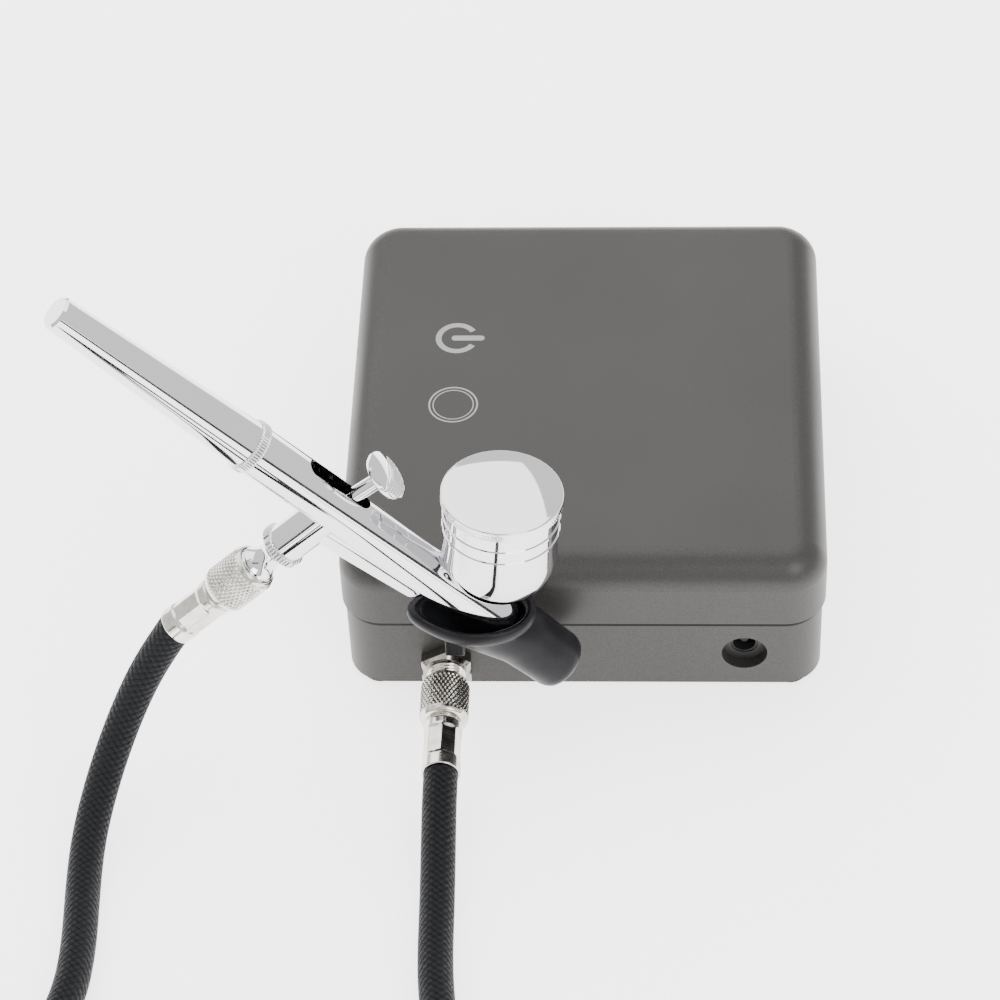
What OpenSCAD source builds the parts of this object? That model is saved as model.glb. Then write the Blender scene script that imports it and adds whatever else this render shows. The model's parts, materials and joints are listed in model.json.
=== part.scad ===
// Desktop airbrush compressor: a rounded two-part case with its piston pump inside,
// a braided hose to a gravity-feed airbrush, and the airbrush in its front holder.
// The origin is on the floor, under the middle of the whole object without its hose.

/* [Case] */
// Width of the case
case_w = 120; // [110:1:130]
// Depth of the case
case_d = 127; // [124:1:134]
// Height of the case with its feet
case_h = 44.8; // [44:0.2:50]
// Height of the seam between cover and base
seam_z = 25; // [23:0.5:27]
// Radius of the upright corners
corner_r = 10.4; // [9:0.2:14]
// Radius of the edge round the top
top_r = 8; // [5:0.5:8]
// Thickness of the plastic walls
wall = 2.4; // [2:0.1:2.8]

/* [Air outlet and power inlet] */
// Outlet's place left of the middle
outlet_x = -34.2; // [-36:0.2:-32]
// Height of the outlet's axis
outlet_z = 9.2; // [9:0.1:10]
// Power inlet's place right of the middle
jack_x = 39.9; // [36:0.1:44]
// Height of the power inlet's axis
jack_z = 13.2; // [13:0.1:14]
// Radius of the recess round the power inlet
jack_recess_r = 5.65; // [5.2:0.05:6]
// Outer radius of the hose
hose_r = 4.25; // [3.5:0.05:4.5]

/* [Airbrush] */
// Radius of the airbrush's barrel
barrel_r = 6; // [5.8:0.1:6.2]
// Slope of the airbrush, nose down
brush_tilt = 47.4; // [46:0.1:49]
// Roll of the airbrush about its own axis
brush_roll = 5; // [3:0.5:7]
// Radius of the paint cup
cup_r = 13.8; // [12:0.1:14]
// Lean of the cup back from square to the barrel
cup_lean = 43.6; // [42:0.1:45]

/* [Pump] */
// Radius of the pump's cylinder bore
bore_r = 10; // [8:0.1:10]
// Throw of the crank
crank_throw = 3; // [2:0.1:3]

/* [Hidden] */
$fn = 64;

// Middle of the case from the origin
case_x = 29;
case_y = 17.4;
gap = 0.05;
lip = 0.8;
foot_h = 2;
base_w = case_w - 2 * lip;
base_d = case_d - 2 * lip;
base_r = corner_r - lip;
base_top = seam_z - 0.4;
floor_t = 2.2;
floor_z = foot_h + floor_t;
front_y = -base_d / 2;
foot_x = 51.5;
foot_y = 57;
foot_r = 4.5;
post_x = 53;
post_y = 47;
jack_depth = 3.2;
slot_x = -31.5;
slot_z = 19.6;
button_x = -33.4;
power_y = 16.7;
ring_y = -7.3;

// Airbrush frame: x away from the barrel on the trigger side, z from tail to nose
ring_at = [-75.2, -73.5, 98.6];
tail_t = -58.7;
nose_t = 79;
valve_t = 27.3;
pivot_h = -5;
stem_lean = 5.3;
cup_h = 30.6;
cup_t = 51.95;
bowl_z = -18.6;
lid_dome = 2;
dome_r = (pow(14.2, 2) + pow(lid_dome, 2)) / (2 * lid_dome);
nut_h = 27;
trigger_slot_tail = 16;
trigger_slot_nose = 30.7;
trigger_slot_r = 2.3;
valve_bore_r = 3.6;

// Hose ends, measured from the face that the nut screws up to
nut_len = 12.6;
ferrule_start = 13.4;
hose_end = 28.8;
lower_nut_y = -69.6;

// Pump: the crank turns about X, the piston moves along Y, here at its highest point
crank = [-15.5, 24, 23];
pin_y = crank[1] - crank_throw;
piston_y = -3;
block_y = -5;

// Hose routes on the floor and up to its two ends, in the case's own frame
run_lower = [[-34.2, -98.4, 9.2], [-34.2, -107, 8.8], [-34, -117, 7.3], [-33.8, -127, 5.6],
    [-33.6, -139, 4.5], [-33.4, -151, 4.25], [-32.2, -164, 4.25], [-29.2, -178, 4.25],
    [-25, -192, 4.25], [-21, -206, 4.25]];
run_upper = [[-138.8, -220, 4.25], [-136, -206, 4.25], [-131, -192, 4.25],
    [-124.5, -177, 4.25], [-119, -162, 4.25], [-118, -146, 4.25], [-118.8, -130, 4.25],
    [-118.6, -116, 6.6], [-116, -103, 12], [-111.4, -92, 20.6], [-105.2, -83.8, 31],
    [-98.9, -79.1, 39.2]];
coil_at = [-76, -248];
coil_inner = 36.7;
coil_outer = 68;
coil_h = 17.5;

module in_case() {
    translate([case_x, case_y, 0]) children();
}

module in_brush() {
    in_case()
        translate(ring_at)
            rotate([0, 90 + brush_tilt, 0])
                rotate([0, 0, 180 - brush_roll])
                    children();
}

// Along the valve, z runs away from the barrel's axis
module in_valve() {
    in_brush()
        translate([0, 0, valve_t])
            rotate([0, -90, 0])
                children();
}

// Along the cup's axis, z runs up, from the middle of the lid's top
module in_cup() {
    in_brush()
        translate([cup_h, 0, cup_t])
            rotate([0, 90 + cup_lean, 0])
                children();
}

// Along the trigger, z runs up from its pivot
module in_trigger() {
    in_brush()
        translate([pivot_h, 0, valve_t])
            rotate([0, 90 - stem_lean, 0])
                children();
}

module along_front(x, y, z) {
    in_case()
        translate([x, y, z])
            rotate([90, 0, 0])
                children();
}

module along_motor(x) {
    in_case()
        translate([x, crank[1], crank[2]])
            rotate([0, 90, 0])
                children();
}

// Along the pump's cylinder, z runs from the head to the crank
module along_bore(y) {
    in_case()
        translate([crank[0], y, crank[2]])
            rotate([-90, 0, 0])
                children();
}

module tube(r_out, r_in, h) {
    difference() {
        cylinder(r = r_out, h = h);
        translate([0, 0, -1]) cylinder(r = r_in, h = h + 2);
    }
}

module rounded_rect(w, d, r) {
    square([w - 2 * r, d], center = true);
    square([w, d - 2 * r], center = true);
    for (sx = [-1, 1], sy = [-1, 1])
        translate([sx * (w / 2 - r), sy * (d / 2 - r)]) circle(r = r);
}

module edge_profile(half, r) {
    square([half - r, r]);
    intersection() {
        translate([half - r, 0]) circle(r = r);
        square([half, r]);
    }
}

// A rounded slab with its upper edge rounded over by r_top
module rounded_slab(w, d, h, r, r_top) {
    linear_extrude(h - r_top) rounded_rect(w, d, r);
    translate([0, 0, h - r_top]) {
        for (sx = [-1, 1], sy = [-1, 1])
            translate([sx * (w / 2 - r), sy * (d / 2 - r), 0])
                rotate_extrude() edge_profile(r, r_top);
        translate([0, d / 2 - r, 0])
            rotate([90, 0, 0])
                linear_extrude(d - 2 * r)
                    for (side = [0, 1]) mirror([side, 0]) edge_profile(w / 2, r_top);
        translate([-w / 2 + r, 0, 0])
            rotate([90, 0, 90])
                linear_extrude(w - 2 * r)
                    for (side = [0, 1]) mirror([side, 0]) edge_profile(d / 2, r_top);
    }
}

module at_posts() {
    for (sx = [-1, 1], sy = [-1, 1]) translate([sx * post_x, sy * post_y, 0]) children();
}

module top_cover() {
    color("dimgray") in_case() {
        difference() {
            translate([0, 0, seam_z])
                rounded_slab(case_w, case_d, case_h - seam_z, corner_r, top_r);
            translate([0, 0, seam_z - 1])
                rounded_slab(case_w - 2 * wall, case_d - 2 * wall, case_h - wall - seam_z + 1,
                    corner_r - wall, top_r - wall);
            power_outline(1);
            ring_outline(1);
        }
        at_posts() translate([0, 0, seam_z]) tube(3.5, 1.5, case_h - wall - seam_z);
    }
}

module base_shell() {
    color("dimgray") in_case() {
        difference() {
            translate([0, 0, foot_h]) linear_extrude(base_top - foot_h)
                rounded_rect(base_w, base_d, base_r);
            translate([0, 0, floor_z]) linear_extrude(case_h)
                rounded_rect(base_w - 2 * wall, base_d - 2 * wall, base_r - wall);
            for (sx = [-1, 1], sy = [-1, 1])
                translate([sx * foot_x, sy * foot_y, 0]) cylinder(r = foot_r, h = foot_h + 0.6);
            at_posts() cylinder(r = 3, h = foot_h + 1.2);
            at_posts() cylinder(r = 1.5, h = case_h);
            at_mounts() translate([0, 0, floor_z - 1.2]) cylinder(r = 1.5, h = 3);
            translate([jack_x, front_y - 1, jack_z]) rotate([-90, 0, 0])
                cylinder(r = jack_recess_r, h = jack_depth + 1);
            translate([outlet_x, front_y - 1, outlet_z]) rotate([-90, 0, 0])
                cylinder(r = 3.65, h = wall + 2);
            translate([slot_x, front_y, slot_z]) cube([5.2, 4 * wall, 3.2], center = true);
            for (i = [0:7]) translate([18 + 3.6 * i, 22, 0]) cube([1.6, 26, 10]);
        }
        at_posts() difference() {
            translate([0, 0, floor_z]) cylinder(r = 3.5, h = seam_z - floor_z);
            cylinder(r = 1.5, h = case_h);
        }
        translate([jack_x, front_y + wall, jack_z]) rotate([-90, 0, 0]) difference() {
            cylinder(r = 7.6, h = 3.4);
            translate([0, 0, -1]) cylinder(r = jack_recess_r, h = 1 + jack_depth - wall);
            translate([0, 0, -1]) cylinder(r = 3.4, h = 9);
        }
    }
}

module rubber_feet() {
    color("black") in_case()
        for (sx = [-1, 1], sy = [-1, 1])
            translate([sx * foot_x, sy * foot_y, 0]) {
                cylinder(r1 = foot_r - 0.4, r2 = foot_r, h = 0.6);
                translate([0, 0, 0.6]) cylinder(r = foot_r, h = foot_h);
            }
}

module case_screws() {
    color("gray") in_case() at_posts() {
        translate([0, 0, foot_h + 0.2]) cylinder(r = 2.8, h = 1);
        translate([0, 0, foot_h + 1.2]) cylinder(r = 1.45, h = 30);
    }
}

module power_outline(extra) {
    translate([button_x, power_y, case_h - 0.6]) linear_extrude(0.6 + extra) {
        difference() {
            circle(r = 5.5);
            circle(r = 4);
            polygon([[0, 0], [9, -5.6], [9, 5.6]]);
        }
        square_bar(-1.4, 7.1, 1.8);
    }
}

module square_bar(x0, x1, w) {
    translate([x0 + w / 2, -w / 2]) square([x1 - x0 - w, w]);
    for (x = [x0 + w / 2, x1 - w / 2]) translate([x, 0]) circle(d = w);
}

module ring_outline(extra) {
    translate([button_x, ring_y, case_h - 0.6]) {
        tube(6.3, 5.85, 0.6 + extra);
        tube(5.25, 4.95, 0.6 + extra);
    }
}

module power_symbol() {
    color("gainsboro") in_case() power_outline(0);
}

module mode_ring() {
    color("gainsboro") in_case() ring_outline(0);
}

module touch_board() {
    color("darkgreen") in_case() {
        translate([button_x - 14, -20, case_h - wall - 1.8]) cube([28, 50, 1.6]);
        for (y = [power_y, ring_y]) translate([button_x, y, case_h - wall - 3.4])
            cylinder(r = 5, h = 1.6);
    }
}

module control_board() {
    color("darkgreen") in_case() {
        translate([10, -52, floor_z + 2]) cube([38, 40, 1.6]);
        for (x = [14, 44], y = [-48, -16]) translate([x, y, floor_z]) cylinder(r = 2.5, h = 2);
        translate([22, -36, floor_z + 3.6]) cube([7, 7, 1.4]);
        translate([20, -22, floor_z + 3.6]) cylinder(r = 4, h = 10);
        translate([36, -30, floor_z + 3.6]) cube([10, 8, 5]);
        translate([30, -18, floor_z + 3.6]) cube([12, 4, 4]);
    }
}

module dc_jack() {
    color("black") in_case() {
        translate([jack_x, front_y + jack_depth + 0.3, jack_z]) rotate([-90, 0, 0]) difference() {
            cylinder(r = 3.35, h = 4);
            translate([0, 0, -1]) cylinder(r = 2.8, h = 10);
        }
        translate([jack_x, front_y + wall + 3.4, jack_z]) difference() {
            translate([-4.5, 0, -4.5]) cube([9, 9, 9]);
            rotate([-90, 0, 0]) cylinder(r = 2.8, h = 7);
        }
        translate([jack_x, front_y + jack_depth + 1.5, jack_z]) rotate([-90, 0, 0])
            cylinder(r = 1, h = 10);
    }
}

module wire(x, y, z, length, turn) {
    translate([x, y, z]) rotate([0, 90, turn]) cylinder(r = 0.7, h = length);
}

module wiring() {
    color("firebrick") in_case() {
        for (i = [0, 1]) wire(38 + 2 * i, -14, floor_z + 9, 36 - 2 * i, 90);
        for (i = [0, 1]) wire(-6 - 2 * i, -14 - 2 * i, case_h - wall - 3.5, 22, 0);
    }
}

module intake_filter() {
    color("silver") in_case()
        translate([-43.4, 52, floor_z]) {
            tube(7, 5.6, 16);
            cylinder(r = 5.55, h = 12);
        }
}

module at_mounts() {
    for (spot = [[-32, -1], [-32, 41], [3, -1], [3, 43]])
        translate([spot[0], spot[1], 0]) children();
}

module pump_frame() {
    color("lightslategray") difference() {
        in_case() {
            difference() {
                translate([-36, -5, 6]) cube([43, 52, 2.4]);
                at_mounts() cylinder(r = 1.7, h = 20);
            }
            translate([-28, block_y, 8.4]) cube([25, 13, 26.6]);
            translate([-5, 8, 8.4]) cube([3, 32, 28.6]);
        }
        along_bore(block_y - 1) cylinder(r = 11.5, h = 20);
        along_motor(-6) cylinder(r = 4, h = 6);
        head_screw_holes();
    }
}

module at_head_screws(y) {
    for (sx = [-1, 1], sz = [-1, 1])
        along_bore(y) translate([sx * 10.6, sz * 10, 0]) children();
}

module head_screw_holes() {
    at_head_screws(block_y - 20) cylinder(r = 1.1, h = 30);
}

module motor_can() {
    color("silver") along_motor(-2) {
        difference() {
            cylinder(r = 14, h = 36);
            translate([0, 0, 1.5]) cylinder(r = 12.6, h = 40);
            translate([0, 0, -1]) cylinder(r = 1.5 + gap, h = 4);
        }
        for (side = [0, 180]) rotate([0, 0, side]) translate([0, 0, 5]) difference() {
            cylinder(r = 12.55, h = 24);
            translate([0, 0, -1]) cylinder(r = 9.6, h = 26);
            translate([-20, -20, -1]) cube([40, 26, 26]);
        }
    }
}

module motor_cap() {
    color("black") along_motor(34) {
        tube(14, 1.5 + gap, 3);
        for (side = [-1, 1]) translate([side * 7 - 1.5, -0.3, 3]) cube([3, 0.6, 4]);
    }
}

module rotor_shaft() {
    color("silver") along_motor(-11.5) {
        cylinder(r = 1.5, h = 50);
        translate([0, 0, 16]) tube(9, 1.5, 22);
        translate([0, 0, 40]) tube(4, 1.5, 4);
    }
}

module crank_disc() {
    color("goldenrod") {
        along_motor(-11.5) tube(7.5, 1.5, 5.5);
        along_motor(-12.2) translate([0, -crank_throw, 0]) cylinder(r = 2, h = 0.7);
    }
}

module piston_rod() {
    color("lightgray") {
        in_case() difference() {
            union() {
                translate([-18.5, pin_y, crank[2]]) rotate([0, 90, 0]) cylinder(r = 7, h = 6);
                translate([-17, 0, crank[2] - 3]) cube([3, pin_y, 6]);
            }
            translate([-20, pin_y, crank[2]]) rotate([0, 90, 0]) cylinder(r = 5, h = 10);
        }
        along_bore(piston_y + 2) cylinder(r = 8.5, h = 2.5);
    }
}

module big_end_bearing() {
    color("silver") in_case() translate([-18.5, pin_y, crank[2]]) rotate([0, 90, 0])
        tube(5, 2.2, 6);
}

module piston_cup() {
    color("black") along_bore(piston_y) cylinder(r = bore_r - gap, h = 2);
}

module cylinder_sleeve() {
    color("silver") along_bore(block_y) tube(11.5, bore_r, 15);
}

module valve_plate() {
    color("lightgray") difference() {
        in_case() translate([-28, block_y - 2, 11]) cube([25, 2, 24]);
        head_screw_holes();
        for (side = [-1, 1]) along_bore(block_y - 3) translate([side * 4, 0, 0])
            cylinder(r = 1.5, h = 4);
    }
}

module reed_valves() {
    color("silver") for (side = [-1, 1])
        along_bore(block_y - 2.4) translate([side * 4, 0, 0]) cylinder(r = 2.4, h = 0.4);
}

module cylinder_head() {
    color("silver") {
        difference() {
            in_case() translate([-28, block_y - 12, 11]) cube([25, 10, 24]);
            for (side = [-1, 1]) along_bore(block_y - 9) translate([side * 4, 0, 0])
                cylinder(r = 3.2, h = 8);
            head_screw_holes();
        }
        along_bore(block_y - 19) translate([-4, 0, 0]) tube(2.2, 1.2, 7);
    }
}

module head_screws() {
    color("gray") {
        at_head_screws(block_y - 12) cylinder(r = 1.1, h = 22);
        at_head_screws(block_y - 13.6) cylinder(r = 2.1, h = 1.6);
    }
}

module rubber_mounts() {
    color("black") in_case() at_mounts()
        translate([0, 0, floor_z]) tube(3.8, 1.7, 6 - floor_z);
}

module mount_screws() {
    color("gray") in_case() at_mounts() {
        translate([0, 0, floor_z - 1.2]) cylinder(r = 1.5, h = 5.4);
        translate([0, 0, 8.4]) cylinder(r = 2.8, h = 1.6);
    }
}

// Silicone tube from the head's spigot to the outlet's tail
module air_tube() {
    x0 = crank[0] - 4;
    bend = 8;
    y0 = block_y - 13;
    z0 = crank[2];
    color("whitesmoke") in_case() difference() {
        union() {
            translate([x0, y0, z0]) rotate([90, 0, 0]) cylinder(r = 3.2, h = 9);
            translate([x0 - bend, y0 - 9, z0]) rotate([180, 0, 0])
                rotate_extrude(angle = 90) translate([bend, 0]) circle(r = 3.2);
            translate([x0 - bend, y0 - 9 - bend, z0]) rotate([0, -90, 0])
                cylinder(r = 3.2, h = x0 - bend - outlet_x);
            translate([outlet_x, y0 - 9 - bend, z0]) sphere(r = 3.2);
            translate([outlet_x, y0 - 9 - bend, outlet_z]) cylinder(r = 3.2, h = z0 - outlet_z);
            translate([outlet_x, y0 - 9 - bend, outlet_z]) sphere(r = 3.2);
            translate([outlet_x, front_y + 14, outlet_z]) rotate([-90, 0, 0])
                cylinder(r = 3.2, h = y0 - 9 - bend - front_y - 14);
        }
        translate([x0, y0 + 1, z0]) rotate([90, 0, 0]) cylinder(r = 2.2, h = 7);
        translate([outlet_x, front_y + 13, outlet_z]) rotate([-90, 0, 0]) cylinder(r = 2.2, h = 6);
    }
}

module hexagon(across) {
    rotate(90) circle(d = across / cos(30), $fn = 6);
}

// Thread drawn as plain rings
module thread(r, h) {
    cylinder(r = r - 0.5, h = h);
    for (z = [0.5:0.95:h - 0.5]) translate([0, 0, z - 0.3]) cylinder(r = r, h = 0.5);
}

module outlet_adapter() {
    color("slategray") difference() {
        union() {
            along_front(outlet_x, front_y, outlet_z) linear_extrude(3.7) hexagon(12.3);
            along_front(outlet_x, front_y - 3.7, outlet_z) thread(4.8, 9.6);
            along_front(outlet_x, front_y + 8, outlet_z) cylinder(r = 3.6, h = 8);
            along_front(outlet_x, front_y + 18, outlet_z) cylinder(r = 2.2, h = 10);
        }
        along_front(outlet_x, front_y + 20, outlet_z) cylinder(r = 1.2, h = 40);
    }
}

module outlet_locknut() {
    color("silver") along_front(outlet_x, front_y + wall + 2.6, outlet_z) difference() {
        rotate(90) linear_extrude(2.6) hexagon(9.6);
        translate([0, 0, -1]) cylinder(r = 3.6, h = 6);
    }
}

// The three pieces of a hose end share one frame: z runs from the nut's rim to the hose
module hose_nut() {
    difference() {
        union() {
            cylinder(r1 = 5.4, r2 = 6, h = 0.8);
            translate([0, 0, 0.8]) cylinder(r = 6.05, h = nut_len - 1.4);
            translate([0, 0, nut_len - 0.6]) cylinder(r1 = 6.05, r2 = 5.4, h = 0.6);
        }
        translate([0, 0, -1]) cylinder(r = 5, h = 9);
        translate([0, 0, -1]) cylinder(r = 3.85, h = 20);
    }
}

module hose_tail() {
    difference() {
        union() {
            translate([0, 0, 6.5]) cylinder(r = 4.7, h = 1.4);
            translate([0, 0, 7.9]) cylinder(r = 3.7, h = ferrule_start - 7.9);
            translate([0, 0, ferrule_start]) cylinder(r = 2.6, h = 13);
        }
        translate([0, 0, 5]) cylinder(r = 1.3, h = 30);
    }
}

module ferrule() {
    flats = 8;
    difference() {
        union() {
            translate([0, 0, ferrule_start]) cylinder(r = 4.85, h = 2);
            translate([0, 0, ferrule_start + 2]) cylinder(d = 9.6, h = 10, $fn = flats);
            translate([0, 0, hose_end - 3.2]) cylinder(r = 4.85, h = 3.2);
        }
        translate([0, 0, ferrule_start - 1]) cylinder(r = 2.6, h = 14);
    }
}

module hose_nut_lower() {
    color("silver") along_front(outlet_x, lower_nut_y, outlet_z) hose_nut();
}

module hose_tail_lower() {
    color("silver") along_front(outlet_x, lower_nut_y, outlet_z) hose_tail();
}

module ferrule_lower() {
    color("gainsboro") along_front(outlet_x, lower_nut_y, outlet_z) ferrule();
}

module hose_nut_upper() {
    color("silver") in_valve() translate([0, 0, nut_h]) hose_nut();
}

module hose_tail_upper() {
    color("silver") in_valve() translate([0, 0, nut_h]) hose_tail();
}

module ferrule_upper() {
    color("gainsboro") in_valve() translate([0, 0, nut_h]) ferrule();
}

// A round tube swept along points, as one polyhedron
sides = 10;
function unit(v) = v / norm(v);
function last(p) = len(p) - 1;
function heading(p, i) = unit(p[min(i + 1, last(p))] - p[max(i - 1, 0)]);
function curve(p, i, t) =
    let (a = p[max(i - 1, 0)], b = p[i], c = p[i + 1], d = p[min(i + 2, last(p))])
    0.5 * ((2 * b) + (c - a) * t + (2 * a - 5 * b + 4 * c - d) * t * t
        + (3 * b - a - 3 * c + d) * t * t * t);
function smooth(p) = [for (i = [0:last(p) - 1], t = [0, 0.5]) curve(p, i, t), p[last(p)]];
function ring_point(p, i, k, r) =
    let (w = heading(p, i), u = unit(cross([0, 0.6, 0.8], w)), v = cross(w, u), a = 360 * k / sides)
    p[i] + r * (cos(a) * u + sin(a) * v);

module swept_tube(p, r) {
    n = len(p);
    points = [for (i = [0:n - 1], k = [0:sides - 1]) ring_point(p, i, k, r)];
    walls = [for (i = [0:n - 2], k = [0:sides - 1])
        [i * sides + k, (i + 1) * sides + k, (i + 1) * sides + (k + 1) % sides,
            i * sides + (k + 1) % sides]];
    start = [for (k = [0:sides - 1]) k];
    end = [for (k = [sides - 1:-1:0]) (n - 1) * sides + k];
    polyhedron(points = points, faces = concat(walls, [start], [end]), convexity = 6);
}

module hose_run_lower() {
    color("black") in_case() swept_tube(smooth(run_lower), hose_r - gap);
}

module hose_run_upper() {
    color("black") in_case() swept_tube(smooth(run_upper), hose_r - gap);
}

module hose_coil() {
    color("black") in_case() translate([coil_at[0], coil_at[1], 0]) rotate_extrude($fn = 96)
        translate([coil_inner, 0]) square([coil_outer - coil_inner, coil_h]);
}

// Oval funnel that narrows into a tube round the airbrush's nose
module holder_mouth(long_r, short_r, z, h) {
    translate([-24.6, -74.7, z]) linear_extrude(h) {
        scale([long_r / short_r, 1]) circle(r = short_r, $fn = 32);
    }
}

module brush_holder() {
    color("dimgray") difference() {
        union() {
            hull() {
                in_case() holder_mouth(13.7, 9.7, 41, 3);
                in_brush() translate([0, 0, 90]) cylinder(r = 7.4, h = 0.2, $fn = 24);
            }
            in_brush() translate([0, 0, 88.5]) cylinder(r1 = 7.9, r2 = 7.4, h = 13.4);
            in_brush() translate([0, 0, 101.9]) cylinder(r1 = 7.4, r2 = 5.6, h = 2.4);
            in_case() translate([slot_x - 2.5, -68.4, 18]) cube([5, 4.3, 25]);
            in_case() translate([slot_x - 2.5, -65, 18.1]) cube([5, 9, 3]);
        }
        hull() {
            in_case() holder_mouth(12.1, 8.1, 42, 3);
            in_brush() translate([0, 0, 89.8]) cylinder(r = 6.9, h = 0.4, $fn = 24);
        }
        in_brush() translate([0, 0, 90]) cylinder(r = 6, h = 11.5);
    }
}

module holder_socket() {
    color("black") in_case() difference() {
        translate([slot_x - 5, front_y + wall, 16.4]) cube([10, 7, 6.4]);
        translate([slot_x - 2.6, front_y, 18]) cube([5.2, 30, 3.2]);
    }
}

module brush_body() {
    color("silver") difference() {
        union() {
            in_brush() translate([0, 0, 1.4]) cylinder(r = barrel_r, h = nose_t - 1.4);
            in_brush() translate([-6.6, 0, 28]) rotate([0, 3.8, 0]) cylinder(r = 4.4, h = 29.7);
            in_brush() translate([-4.64, 0, 57.65]) sphere(r = 4.4);
            in_valve() cylinder(r = 5, h = 9);
        }
        in_brush() cylinder(r = 4.4, h = 37);
        in_brush() cylinder(r = 0.8, h = 100);
        in_brush() translate([0, 0, nose_t - 8]) cylinder(r = 2.4, h = 9);
        in_brush() translate([0, -trigger_slot_r, trigger_slot_tail])
            cube([8, 2 * trigger_slot_r, trigger_slot_nose - trigger_slot_tail]);
        in_brush() for (t = [trigger_slot_tail, trigger_slot_nose])
            translate([0, 0, t]) rotate([0, 90, 0]) cylinder(r = trigger_slot_r, h = 8);
        in_valve() cylinder(r = valve_bore_r, h = 10);
        in_valve() translate([0, 0, 9]) cylinder(r = 5.02, h = 10);
        in_cup() translate([0, 0, -42]) cylinder(r = 1.2, h = 20);
    }
}

module paint_cup() {
    color("silver") difference() {
        in_cup() difference() {
            rotate_extrude() {
                difference() {
                    union() {
                        translate([0, bowl_z]) square([cup_r, -3.4 - bowl_z]);
                        translate([0, bowl_z]) circle(r = cup_r);
                        for (z = [-7.5, -11.2]) translate([0, z - 0.3]) square([cup_r + 0.25, 0.6]);
                    }
                    translate([-50, -50]) square([50, 100]);
                    translate([0, -3.4]) square([50, 50]);
                    polygon([[0, 0], [12.6, 0], [12.6, -18], [3, -28], [1.2, -28.5],
                        [1.2, -40], [0, -40]]);
                }
            }
        }
        in_brush() cylinder(r = barrel_r, h = 100);
    }
}

module cup_lid() {
    color("silver") in_cup() rotate_extrude() difference() {
        union() {
            translate([0, -3.35]) square([14.5, 2.75]);
            translate([0, -5.6]) square([12.3, 3]);
            intersection() {
                translate([0, lid_dome - 0.6 - dome_r]) circle(r = dome_r, $fn = 160);
                translate([0, -1]) square([14.2, 4]);
            }
        }
        translate([0, -8]) square([10.6, 5]);
    }
}

module handle() {
    color("silver") in_brush() difference() {
        union() {
            translate([0, 0, tail_t]) cylinder(r1 = 3.7, r2 = 4.2, h = 0.6);
            translate([0, 0, tail_t + 0.6])
                cylinder(r1 = 4.2, r2 = barrel_r, h = -1.35 - 0.6 - tail_t);
        }
        translate([0, 0, -52]) cylinder(r = 2.9, h = 60);
        translate([0, 0, -13]) cylinder(r = 4.3, h = 20);
    }
}

module handle_ring() {
    color("silver") in_brush() translate([0, 0, -1.3]) tube(6.55, 4.4, 2.6);
}

module trigger_button() {
    color("silver") in_trigger() translate([0, 0, 18.9]) {
        cylinder(r1 = 5.2, r2 = 6.15, h = 1);
        translate([0, 0, 1]) cylinder(r = 6.15, h = 0.8);
        translate([0, 0, 1.8]) intersection() {
            translate([0, 0, -19.6]) sphere(r = 20.55);
            cylinder(r = 6.15, h = 3);
        }
    }
}

module trigger_stem() {
    color("silver") in_trigger() difference() {
        union() {
            rotate([90, 0, 0]) cylinder(r = 1.8, h = 3.8, center = true);
            translate([-1.6, -1.9, 0]) cube([3.2, 3.8, 8.4]);
            translate([0, 0, 8.4]) cylinder(r = 2, h = 10.5);
        }
        translate([-5, -0.9, 2.2]) cube([10, 1.8, 7.2]);
    }
}

module needle_guide() {
    color("lightgray") in_brush() {
        translate([0, 0, -5]) tube(2, 0.75, 27.4);
        translate([0, 0, 22.4]) tube(3.3, 0.75, 1);
        translate([-3.2, -1.5, 23.4]) cube([2.2, 3, 1.6]);
    }
}

module needle() {
    color("gainsboro") in_brush() {
        translate([0, 0, -46]) cylinder(r = 0.65, h = 130);
        translate([0, 0, 84]) cylinder(r1 = 0.65, r2 = 0.1, h = 11);
        translate([0, 0, -47.5]) cylinder(r = 1.2, h = 1.5);
    }
}

module needle_chuck() {
    color("goldenrod") in_brush() translate([0, 0, -16]) {
        tube(2.4, 0.65, 3);
        translate([0, 0, 3]) tube(2, 0.65, 7.95);
    }
}

module spring_rings(count, pitch, r, wire_r) {
    for (i = [0:count - 1]) translate([0, 0, i * pitch]) rotate_extrude()
        translate([r, 0]) circle(r = wire_r, $fn = 16);
}

module needle_spring() {
    color("gray") in_brush() translate([0, 0, 5]) spring_rings(10, 1.6, 2.7, 0.3);
}

module spring_case() {
    color("goldenrod") in_brush() {
        translate([0, 0, -10]) tube(4.2, 3.4, 10);
        translate([0, 0, 0]) tube(4.35, 3.4, 14);
        translate([0, 0, -10]) tube(3.4, 2.15, 1.5);
    }
}

module nozzle() {
    color("goldenrod") in_brush() {
        translate([0, 0, nose_t - 3]) tube(2.35, 0.85, 4);
        translate([0, 0, nose_t + 1]) difference() {
            cylinder(r1 = 3.4, r2 = 1.1, h = 11);
            translate([0, 0, -1]) cylinder(r = 0.8, h = 20);
        }
    }
}

module nozzle_cap() {
    color("silver") in_brush() difference() {
        union() {
            translate([0, 0, nose_t + 0.05]) cylinder(r = 5.9, h = 3.4);
            translate([0, 0, nose_t + 3.45]) cylinder(r1 = 5.2, r2 = 3.6, h = 9);
        }
        translate([0, 0, nose_t - 1]) cylinder(r = 3.6, h = 9);
        translate([0, 0, nose_t]) cylinder(r = 1.3, h = 30);
        translate([0, 0, nose_t + 8]) cylinder(r1 = 3.4, r2 = 1.8, h = 4.5);
    }
}

module needle_cap() {
    color("silver") in_brush() difference() {
        translate([0, 0, nose_t + 12.45]) cylinder(r1 = 3.6, r2 = 3, h = 5);
        translate([0, 0, nose_t + 12]) cylinder(r = 1.4, h = 6);
    }
}

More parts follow.
